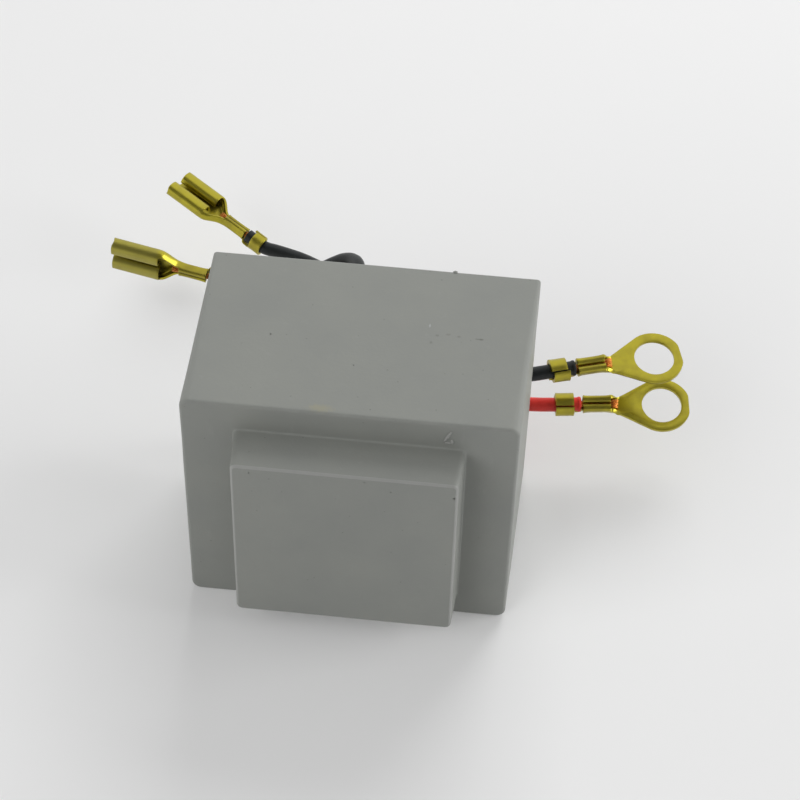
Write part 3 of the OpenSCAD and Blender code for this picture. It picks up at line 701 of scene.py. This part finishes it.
def crimps(bm, c, s, n, lead_r, floor_z, seam=0.0):
    """Insulation crimp, strip and wire crimp as one sheet. Gives its end's place and half profile."""
    grip_r = lead_r + c.slack + s.sheet / 2
    mouth_r = grip_r + FLARE * MM
    first, last, stagger = s.grip_start, s.grip_end, STAGGERS[n] * MM
    stations = [first, first + stagger, (first + last) / 2, last - stagger, last]
    radii = [mouth_r, grip_r, grip_r, grip_r, mouth_r]
    wire = wire_half(c, s, floor_z, 0)
    belled = wire_half(c, s, floor_z, c.bell)
    tight = grip_half(grip_r, WING_TIP)
    floor = [(x, grip_half(r, WING_TIP)) for x, r in zip(stations, radii)]
    floor += [(s.wire_start - back * MM, blend(tight, belled, share)) for back, share in STRIP]
    floor.append((s.wire_start, belled))
    strip(bm, floor, FLOOR)
    for side, wing in ((-1, slice(1, 5)), (1, slice(0, 4))):
        tip = WING_TIP + side * math.degrees(seam)
        rounds = zip(stations[wing], radii[wing])
        loft(bm, [[(x, side * y, z) for y, z in grip_half(r, tip)[FLOOR:]] for x, r in rounds])
    wire_end = s.wire_start + c.wire_length
    inner = (s.wire_start + BELL_REACH * MM, (s.wire_start + wire_end) / 2, wire_end - BELL_REACH * MM)
    strip(bm, [(s.wire_start, belled), *((x, wire) for x in inner), (wire_end, belled)], CURL)
    return wire_end, belled


def strand_floor(leads, sheet):
    """Height of the middle of the sheet under the strands."""
    return -leads.conductor / 2 - STRAND_GAP * MM - sheet / 2


def twist_sheet(bm, start, end, turn, ease):
    """Turns a formed sheet about its lead: not at all at one station, and fully at another and beyond."""
    for v in bm.verts:
        share = min(1, max(0, (v.co.x - start) / (end - start)))
        v.co = Matrix.Rotation(turn * ease(share), 3, "X") @ v.co


def finish_sheet(bm, n, sheet, crimp, dulled=None):
    """Welds a formed sheet, sets it at the end of its lead and gives it its thickness and eased edges."""
    node = LEADS[n][4]
    name = node + "_formed"
    bmesh.ops.remove_doubles(bm, verts=bm.verts, dist=2 * NEAR)
    bmesh.ops.recalc_face_normals(bm, faces=bm.faces)
    matrix = lead_end(n)
    bmesh.ops.transform(bm, matrix=matrix, verts=bm.verts)
    modifiers = (
        ("SUBSURF", {"levels": 1, "render_levels": 1, "boundary_smooth": "PRESERVE_CORNERS"}),
        ("SOLIDIFY", {"thickness": sheet, "offset": 0.0, "use_even_offset": True,
                      "use_quality_normals": True}),
        ("BEVEL", {"width": EASED_EDGE * sheet, "segments": 2, "limit_method": "ANGLE",
                   "angle_limit": SHARP}),
    )
    brass = brass_finish(name + "_brass", crimp, matrix, dulled)
    settle(name, bm, brass, "terminal_brass", node, modifiers=modifiers)


def push_on_terminal(n, c, s, leads):
    """Push-on terminal: crimps, tapered neck, and a receptacle whose sides roll over a flat floor."""
    bm = bmesh.new()
    lid, dullness, twist = RECEPTACLES[n]
    floor_z = strand_floor(leads, s.sheet)
    wire_end, wire = crimps(bm, c, s, n, leads.diameter / 2, floor_z)
    roll = s.roll - s.sheet / 2
    roll_y, roll_z = s.width / 2 - s.roll, floor_z - s.sheet / 2 + s.roll
    curl_y = roll_y - lid * MM
    top_steps, lid_steps, neck_steps = 4, 2, 6
    half = floor_points(roll_y, floor_z)
    half += arc((roll_y, roll_z), roll, -90, 0, CORNER - FLOOR)
    half += arc((roll_y, roll_z), roll, 0, NECK_TOP, WALL - CORNER)
    half += arc((roll_y, roll_z), roll, NECK_TOP, 90, top_steps)
    half += line(half[-1], (curl_y, roll_z + roll), lid_steps)
    half += arc((curl_y, roll_z), roll, 90, ROLL_END, CURL - WALL - top_steps - lid_steps)
    open_out(bm, wire_end, s.start, wire, half, neck_steps)
    middle = (s.start + s.end) / 2
    stations = sorted({s.start + x * MM for x in AFTER_START} | {s.end - x * MM for x in BEFORE_END}
                      | {middle + s.dimple * k / 3 for k in range(-4, 5)})
    rows = []
    for x in stations:
        points = []
        for _, y, z in both_sides(x, half, CURL):
            lead_in = max(0, abs(y) - (s.width / 2 - s.sheet / 2 - s.chamfer))
            away = math.hypot(x - middle, y) / s.dimple
            raised = s.dimple_height * (1 - away * away) ** 2 if away < 1 and z < roll_z else 0
            points.append((min(x, s.end - lead_in), y, z + raised))
        rows.append(points)
    loft(bm, rows)
    twist_sheet(bm, wire_end, s.start, math.radians(twist), eased)
    finish_sheet(bm, n, s.sheet, c, (s.start, s.dulled, dullness))


def ring_terminal(n, c, s, leads):
    """Ring terminal: crimps, cheeks that open flat, and a tongue with a stud hole."""
    bm = bmesh.new()
    floor_z = strand_floor(leads, s.sheet)
    wire_end, wire = crimps(bm, c, s, n, leads.diameter / 2, floor_z, c.seam)
    corner_x, corner_y = (s.outer * math.cos(s.shoulder), s.outer * math.sin(s.shoulder))
    neck_x, neck_y = s.cheek_end - s.middle, s.neck_width / 2
    flat = floor_points(wire[FLOOR][0], floor_z)
    flat += line((wire[FLOOR][0], floor_z), (neck_y, floor_z), WALL - FLOOR)
    cheek_steps, turns, edge_steps = 7, 52, 4
    open_out(bm, wire_end, s.cheek_end, wire, flat, cheek_steps)
    twist_sheet(bm, s.cheek_end, wire_end, s.twist, lambda share: share * share)
    rim = []
    for k in range(turns + 1):
        turn = s.shoulder * (1 - 2 * k / turns)
        rim.append((min(s.outer * math.cos(turn), s.outer - s.tip_cut), s.outer * math.sin(turn)))
    edge = line((corner_x, -corner_y), (neck_x, -neck_y), edge_steps)[:-1]
    rim += edge
    rim += [(neck_x, y) for _, y, _ in both_sides(0, flat, WALL)]
    rim += [(x, -y) for x, y in reversed(edge)]
    hole = [Vector(p).normalized() * s.hole for p in rim]
    outer, inner = (row(bm, [(s.middle + x, y, floor_z) for x, y in points], closed=True)
                    for points in (rim, hole))
    bmesh.ops.bridge_loops(bm, edges=outer + inner)
    finish_sheet(bm, n, s.sheet, c)


def tube(bm, rings, segments):
    """Closed tube through circles, each given by its frame and radius. Gives its vertices."""
    loops, verts = [], []
    for k, (place, radius) in enumerate(rings):
        ring = bmesh.ops.create_circle(bm, cap_ends=k in (0, len(rings) - 1), segments=segments,
                                       radius=radius, matrix=place)["verts"]
        loops.append(list({e for v in ring for e in v.link_edges}))
        verts += ring
    for near, beyond in zip(loops, loops[1:]):
        bmesh.ops.bridge_loops(bm, edges=near + beyond)
    return verts


def twist_strands(bm, matrix, start, end, radius, flare):
    """Bundle of twisted wires along X of a frame, splayed at its far end."""
    wire_r = radius / BUNDLE
    last = STRAND_STATIONS - 1
    turned = Matrix.Rotation(math.pi / 2, 4, "Y")
    for layer, count in LAYERS:
        for k in range(count):
            uneven = noise.noise(Vector((7.3 * k, 3.1 * count, 2.0))) * flare * wire_r * UNEVEN
            rings = []
            for i in range(STRAND_STATIONS):
                share = i / last
                turn = 2 * math.pi * (k / count + LAY * share)
                splay = layer * wire_r * (1 + flare * max(0, share - SPLAY_FROM) * SPLAY)
                there = Vector((start + (end - start) * share + (uneven if i == last else 0),
                                splay * math.cos(turn), max(splay * math.sin(turn), wire_r - radius)))
                rings.append((matrix @ Matrix.Translation(there) @ turned, wire_r))
            tube(bm, rings, segments=6)
    bmesh.ops.recalc_face_normals(bm, faces=bm.faces)


def round_over(bm, edges, radius, segments, wear=0.0):
    """Rounds edges and marks how much the new faces are painted paler, for rubbing and a painted edge
    highlight.
    """
    mark = bm.faces.layers.float["wear"]
    made = bmesh.ops.bevel(bm, geom=edges, offset=radius, offset_type="OFFSET", affect="EDGES",
                           segments=segments, profile=0.5, material=-1, clamp_overlap=True)
    for face in made["faces"]:
        face[mark] = wear


def edges_at(bm, test):
    """Edges whose two ends both pass a test of their place."""
    return [e for e in bm.edges if test(e.verts[0].co) and test(e.verts[1].co)]


def sink_pit(bm, place, radius, depth):
    """Small air hole near a place on the surface."""
    drawn, slope = 0.8, 0.3
    place = Vector(place) * MM
    vert = min(bm.verts, key=lambda v: (v.co - place).length)
    drift = place - vert.co
    vert.co += drawn * (drift - vert.normal * drift.dot(vert.normal))
    hole = bmesh.ops.bevel(bm, geom=[vert], offset=radius * MM, offset_type="OFFSET", affect="VERTICES",
                           segments=1, profile=0.5, material=-1, clamp_overlap=True)["faces"]
    bmesh.ops.inset_individual(bm, faces=hole, thickness=slope * radius * MM, depth=-depth * MM)


def ridge(bm, start, end, radius, wear):
    """Low rounded stroke between two places, half sunk in the face below it, and how much it is painted
    paler, for rubbing and a painted highlight.
    """
    along = end - start
    turn = along.to_track_quat("Z", "Y").to_matrix().to_4x4()
    steps, blunt, fullness = 6, 0.25, 0.4
    rings = []
    for k in range(steps + 1):
        thick = radius * max(blunt, math.sin(math.pi * k / steps)) ** fullness
        rings.append((Matrix.Translation(start + along * k / steps) @ turn, thick))
    verts = tube(bm, rings, segments=10)
    bmesh.ops.recalc_face_normals(bm, faces=list({f for v in verts for f in v.link_faces}))
    worn_and_highlit = bm.verts.layers.float["rim"]
    for v in verts:
        v[worn_and_highlit] = wear


def block_body(bm, s, front_y):
    """Block without its boss: drawn in on the right, with rounded corners and edges."""
    mid_z = s.height / 2
    size = Matrix.Diagonal((s.width, s.pour_y - front_y, s.height, 1))
    bmesh.ops.create_cube(bm, size=1, matrix=Matrix.Translation((0, (front_y + s.pour_y) / 2, mid_z)) @ size)
    for v in bm.verts:
        if v.co.x > 0 and v.co.y < front_y + NEAR:
            v.co.x -= s.taper
    round_over(bm, [e for e in bm.edges if abs(e.verts[0].co.y - e.verts[1].co.y) > NEAR], s.corner, 6)
    for v in bm.verts:
        if v.co.y > s.pour_y - NEAR:
            rise = math.copysign(mid_z, v.co.z - mid_z)
            corner = Vector((math.copysign(s.width / 2, v.co.x), s.pour_y, mid_z + rise))
            v.co = corner + (v.co - corner) * s.rear_corner / s.corner
    round_over(bm, edges_at(bm, lambda p: p.y > s.pour_y - NEAR), s.pour_edge, 4, wear=0.7)
    round_over(bm, edges_at(bm, lambda p: p.y < front_y + NEAR), s.front_edge, 5, wear=0.35)


def raise_boss(bm, s, front_y):
    """Extrudes the boss from the front face, with its draft, its rounded edges and the cove at its foot."""
    mid_z = s.height / 2
    boss_z = mid_z - s.boss_drop
    front = min(bm.faces, key=lambda f: f.calc_center_median().y)
    bmesh.ops.inset_region(bm, faces=[front], thickness=s.margin, use_even_offset=True)
    reach_x = (max(v.co.x for v in front.verts) - min(v.co.x for v in front.verts)) / 2
    mid_x = max(v.co.x for v in front.verts) - reach_x
    reach_z = max(v.co.z for v in front.verts) - mid_z
    tight = min(reach_x - abs(v.co.x - mid_x) for v in front.verts if v.co.z - mid_z > reach_z - NEAR)
    for v in front.verts:
        side, rise = math.copysign(1, v.co.x - mid_x), math.copysign(1, v.co.z - mid_z)
        in_x = (reach_x - abs(v.co.x - mid_x)) / tight
        in_z = (reach_z - abs(v.co.z - mid_z)) / tight
        v.co.x = side * (s.boss_width / 2 - s.boss_corner * in_x) - s.boss_left
        v.co.z = boss_z + rise * (s.boss_height / 2 - s.boss_corner * in_z)
    raised = bmesh.ops.extrude_face_region(bm, geom=[front])["geom"]
    top = [v for v in raised if isinstance(v, bmesh.types.BMVert)]
    bmesh.ops.delete(bm, geom=[front], context="FACES_ONLY")
    slope = Matrix.Diagonal((1 - 2 * s.boss_draft / s.boss_width, 1, 1 - 2 * s.boss_draft / s.boss_height, 1))
    bmesh.ops.transform(bm, matrix=slope, space=Matrix.Translation((s.boss_left, 0, -boss_z)), verts=top)
    bmesh.ops.translate(bm, vec=(0, -s.boss_depth, 0), verts=top)
    round_over(bm, edges_at(bm, lambda p: p.y < s.boss_y + NEAR), s.boss_edge, 5, wear=1)
    middle = (-s.boss_left, front_y, boss_z)
    reach = (s.boss_width / 2 + NEAR, NEAR, s.boss_height / 2 + NEAR)
    foot = edges_at(bm, lambda p: all(abs(a - b) < c for a, b, c in zip(p, middle, reach)))
    # The cove is painted a little paler: a painted highlight along its fillet
    round_over(bm, foot, s.cove, 4, wear=0.3)


def roughen(bm, s):
    """Cuts the skin into cells and makes it a little uneven, apart from the face that it stands on."""
    for axis, low, high in ((0, -s.width / 2, s.width / 2), (1, s.boss_y, s.pour_y), (2, 0, s.height)):
        count = round((high - low) / s.cell)
        across = Vector([float(k == axis) for k in range(3)])
        for k in range(1, count):
            geom = bm.verts[:] + bm.edges[:] + bm.faces[:]
            place = across * (low + (high - low) * k / count)
            bmesh.ops.bisect_plane(bm, geom=geom, dist=NEAR, plane_co=place, plane_no=across)
    bm.normal_update()
    for v in bm.verts:
        if v.co.z > NEAR:
            v.co += v.normal * s.wave * noise.noise(v.co * RIPPLES)


def cast_block(s):
    """Resin block with its boss, an uneven skin, a few air holes, a mould number and a bit of flash."""
    bm = bmesh.new()
    bm.faces.layers.float.new("wear")
    front_y = s.boss_y + s.boss_depth
    block_body(bm, s, front_y)
    raise_boss(bm, s, front_y)
    roughen(bm, s)
    for place, radius, depth in PITS:
        sink_pit(bm, place, radius, depth)
    mark = bm.faces.layers.float["wear"]
    # Each vertex takes the least paleness of its faces: wear and painted highlight along the edges
    worn_and_highlit = bm.verts.layers.float.new("rim")
    for v in bm.verts:
        v[worn_and_highlit] = min(face[mark] for face in v.link_faces)
    bm.faces.layers.float.remove(mark)
    for ends in STROKES:
        ridge(bm, *(Vector((x * MM, front_y, z * MM)) for x, z in ends), *NUMBER_RIDGE)
    ridge(bm, *(Vector(end) * MM for end in FLASH), *FLASH_RIDGE)
    return bm


def meniscus(bm, s, n, lead_r):
    """Ring of resin that has crept up one lead at the pour face."""
    x, _, z = (c * MM for c in EXITS[n])
    creep, spread, sink, overlap = 0.55 * MM, 1.1 * MM, 0.15 * MM, 0.05 * MM
    steps = 6
    curve = [(lead_r - overlap, -sink), (lead_r - overlap, creep)]
    curve += [(lead_r + spread * k / steps, creep * (1 - k / steps) ** 2) for k in range(1, steps + 1)]
    curve += [(lead_r + spread, -sink)]
    edges = row(bm, [(x + r, s.pour_y + h, z) for r, h in curve], closed=True)
    verts = list({v for e in edges for v in e.verts})
    bmesh.ops.spin(bm, geom=verts + edges, cent=(x, 0, z), axis=(0, 1, 0), angle=2 * math.pi, steps=28,
                   use_merge=True)


def lay_lead(n, s, finish):
    """Insulation of one lead as a free cord, from its tail in the resin to its terminal."""
    name, slot, node, _, terminal = LEADS[n]
    path = lead_path(n, s.embed)
    widths = [1] * len(path)
    if n in RINGS:
        path += [lead_end(n) @ Vector((s.overhang * share, 0, 0)) for share, _ in SWELL]
        widths += [width for _, width in SWELL]
    curve = bpy.data.curves.new(name, "CURVE")
    curve.dimensions = "3D"
    curve.bevel_depth = s.diameter / 2
    curve.bevel_resolution = 6
    curve.resolution_u = 6
    curve.use_fill_caps = True
    spline = curve.splines.new("BEZIER")
    spline.bezier_points.add(len(path) - 1)
    for point, there, width in zip(spline.bezier_points, path, widths):
        point.co, point.radius = there, width
        point.handle_left_type = point.handle_right_type = "AUTO"
    curve.materials.append(finish)
    lead = add_object(name, curve)
    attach(lead, "root")
    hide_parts(node)


def stage_panel(name, half, finish, place=Matrix()):
    """Square panel of the stage."""
    bm = bmesh.new()
    bmesh.ops.create_grid(bm, x_segments=1, y_segments=1, size=half, matrix=place)
    panel = add_mesh(name, bm, finish)
    return panel


# Operators


def settings():
    return bpy.context.scene.transformer


class TRANSFORMER_OT_resin_block(bpy.types.Operator):
    """Build the cast block and the resin that has crept up its leads"""

    bl_idname = "transformer.resin_block"
    bl_label = "Resin block"

    def execute(self, context):
        s = settings()
        resin = resin_finish(s.block)
        settle("cast_block", cast_block(s.block), resin, "resin", "resin_block",
               modifiers=(("WEIGHTED_NORMAL", {"keep_sharp": True, "weight": 50}),))
        bm = bmesh.new()
        for n in range(len(LEADS)):
            meniscus(bm, s.block, n, s.leads.diameter / 2)
        bmesh.ops.remove_doubles(bm, verts=bm.verts, dist=NEAR)
        bmesh.ops.recalc_face_normals(bm, faces=bm.faces)
        settle("lead_menisci", bm, resin, "resin")
        return {"FINISHED"}


class TRANSFORMER_OT_strands(bpy.types.Operator):
    """Build the twisted strands at both ends of each lead"""

    bl_idname = "transformer.strands"
    bl_label = "Strands"

    def execute(self, context):
        s = settings()
        copper = copper_finish(s.leads)
        radius = s.leads.conductor / 2
        for n, (name, _, _, node, _) in enumerate(LEADS):
            bm = bmesh.new()
            terminal = s.push_on if n in PUSH_ONS else s.ring
            tip = terminal.wire_start + s.crimps.wire_length + s.leads.brush
            twist_strands(bm, lead_end(n), -s.leads.tuck, tip, radius, s.leads.splay)
            x, y, z = (c * MM for c in EXITS[n])
            rear = Matrix.Translation((x, s.leads.tag_start, z)) @ Matrix.Rotation(math.pi / 2, 4, "Z")
            run = y - s.leads.embed - s.leads.tag_start + s.leads.tuck
            twist_strands(bm, rear, 0, run, radius, 0)
            settle(name + "_strands", bm, copper, "bare_copper", node)
        return {"FINISHED"}


class TRANSFORMER_OT_push_on_terminals(bpy.types.Operator):
    """Form the two push-on terminals of the primary leads"""

    bl_idname = "transformer.push_on_terminals"
    bl_label = "Push-on terminals"

    def execute(self, context):
        s = settings()
        for n in PUSH_ONS:
            push_on_terminal(n, s.crimps, s.push_on, s.leads)
        return {"FINISHED"}


class TRANSFORMER_OT_ring_terminals(bpy.types.Operator):
    """Form the two ring terminals of the secondary leads"""

    bl_idname = "transformer.ring_terminals"
    bl_label = "Ring terminals"

    def execute(self, context):
        s = settings()
        for n in RINGS:
            ring_terminal(n, s.crimps, s.ring, s.leads)
        return {"FINISHED"}


class TRANSFORMER_OT_leads(bpy.types.Operator):
    """Lay the four insulated leads from the block to their terminals"""

    bl_idname = "transformer.leads"
    bl_label = "Leads"

    def execute(self, context):
        s = settings().leads
        finishes = {
            "black_insulation": insulation_finish("dark_insulation", s.black),
            "red_insulation": insulation_finish("bright_insulation", s.red),
        }
        for n, (_, slot, *_) in enumerate(LEADS):
            lay_lead(n, s, finishes[slot])
        return {"FINISHED"}


class TRANSFORMER_OT_core_and_coil(bpy.types.Operator):
    """Finish the core and coil that the resin hides"""

    bl_idname = "transformer.core_and_coil"
    bl_label = "Core and coil"

    def execute(self, context):
        s = settings().coil
        for make, name, tint, nodes, values in INNER_FINISHES:
            finish = make(name, getattr(s, tint), **values)
            for node in nodes:
                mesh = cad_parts[node].data
                mesh.materials.clear()
                mesh.materials.append(finish)
        return {"FINISHED"}


class TRANSFORMER_OT_stage(bpy.types.Operator):
    """Set the floor, the lamps, the even light and the camera"""

    bl_idname = "transformer.stage"
    bl_label = "Stage"

    def execute(self, context):
        s = settings().stage
        scene = context.scene
        stage_panel("floor", s.reach, floor_finish(s))
        target = Vector((0, 0, s.aim))
        for name, place, width, shown in LAMPS:
            lamp = bpy.data.lights.new(name + "_lamp", "AREA")
            lamp.energy, lamp.size = getattr(s, name), width
            lamp.shape = "SQUARE"
            held = add_object(name + "_lamp", lamp)
            held.location = place
            held.visible_glossy = shown
            held.rotation_euler = (target - Vector(place)).to_track_quat("-Z", "Y").to_euler()
        self.hold_card(s)
        self.light_sky(scene, s)
        self.set_camera(scene, s)
        scene.view_settings.view_transform = "Standard"
        return {"FINISHED"}

    def hold_card(self, s):
        """Dark card behind the camera, seen only in shiny surfaces."""
        place = s.card_away * Vector(s.eye)
        turn = place.to_track_quat("Z", "Y").to_matrix().to_4x4()
        finish = cloudy_finish("dark_card", s.card, metallic=0.0, roughness=0.8, size=0.05, depth=0.00002)
        card = stage_panel("card", s.card_size, finish, Matrix.Translation(place) @ turn)
        card.visible_camera = card.visible_diffuse = card.visible_shadow = False

    def light_sky(self, scene, s):
        """Even light, with a pale backdrop where the camera or a shiny surface sees it."""
        scene.world = scene.world or bpy.data.worlds.new("studio")
        scene.world.use_nodes = True
        tree = scene.world.node_tree
        background = tree.nodes["Background"]
        background.inputs["Color"].default_value = (1, 1, 1, 1)
        sky = Nodes(tree)
        sky.feed(s.sky + sky.seen() * (1 - s.sky), background, "Strength")

    def set_camera(self, scene, s):
        """Camera at the photograph's place, turned right, then down, then about its own view."""
        level = math.cos(s.pitch)
        ahead = Vector((math.sin(s.yaw) * level, math.cos(s.yaw) * level, -math.sin(s.pitch)))
        right = Vector((math.cos(s.yaw), -math.sin(s.yaw), 0))
        view = Matrix((right, right.cross(ahead), -ahead)).transposed().to_4x4()
        camera = bpy.data.cameras.new("camera")
        camera.lens = s.lens
        camera.sensor_width = s.sensor
        camera.clip_start = 0.01
        scene.camera = add_object("camera", camera)
        scene.camera.matrix_world = Matrix.Translation(s.eye) @ view @ Matrix.Rotation(s.roll, 4, "Z")


class TransformerSettings(bpy.types.PropertyGroup):
    """All settings of the transformer's looks."""

    block: PointerProperty(type=BlockSettings)
    leads: PointerProperty(type=LeadSettings)
    crimps: PointerProperty(type=CrimpSettings)
    push_on: PointerProperty(type=PushOnSettings)
    ring: PointerProperty(type=RingSettings)
    coil: PointerProperty(type=CoilSettings)
    stage: PointerProperty(type=StageSettings)


OPERATORS = (
    TRANSFORMER_OT_resin_block, TRANSFORMER_OT_strands, TRANSFORMER_OT_push_on_terminals,
    TRANSFORMER_OT_ring_terminals, TRANSFORMER_OT_leads, TRANSFORMER_OT_core_and_coil, TRANSFORMER_OT_stage,
)


class TRANSFORMER_PT_build(bpy.types.Panel):
    """Operators and settings of the transformer's looks"""

    bl_label = "Potted transformer"
    bl_space_type = "VIEW_3D"
    bl_region_type = "UI"
    bl_category = "Transformer"

    def draw(self, context):
        for operator in OPERATORS:
            self.layout.operator(operator.bl_idname)
        for group in TransformerSettings.__annotations__:
            values = getattr(context.scene.transformer, group)
            box = self.layout.box()
            for key in values.__annotations__:
                box.prop(values, key)


CLASSES = (
    BlockSettings, LeadSettings, CrimpSettings, PushOnSettings, RingSettings, CoilSettings, StageSettings,
    TransformerSettings, *OPERATORS, TRANSFORMER_PT_build,
)


def register():
    for cls in CLASSES:
        bpy.utils.register_class(cls)
    bpy.types.Scene.transformer = PointerProperty(type=TransformerSettings)


def unregister():
    del bpy.types.Scene.transformer
    for cls in reversed(CLASSES):
        bpy.utils.unregister_class(cls)


def main():
    """Builds every piece and the stage."""
    register()
    bpy.ops.transformer.resin_block()
    bpy.ops.transformer.strands()
    bpy.ops.transformer.push_on_terminals()
    bpy.ops.transformer.ring_terminals()
    bpy.ops.transformer.leads()
    bpy.ops.transformer.core_and_coil()
    bpy.ops.transformer.stage()
    bpy.context.view_layer.update()


if __name__ == "__main__":
    main()
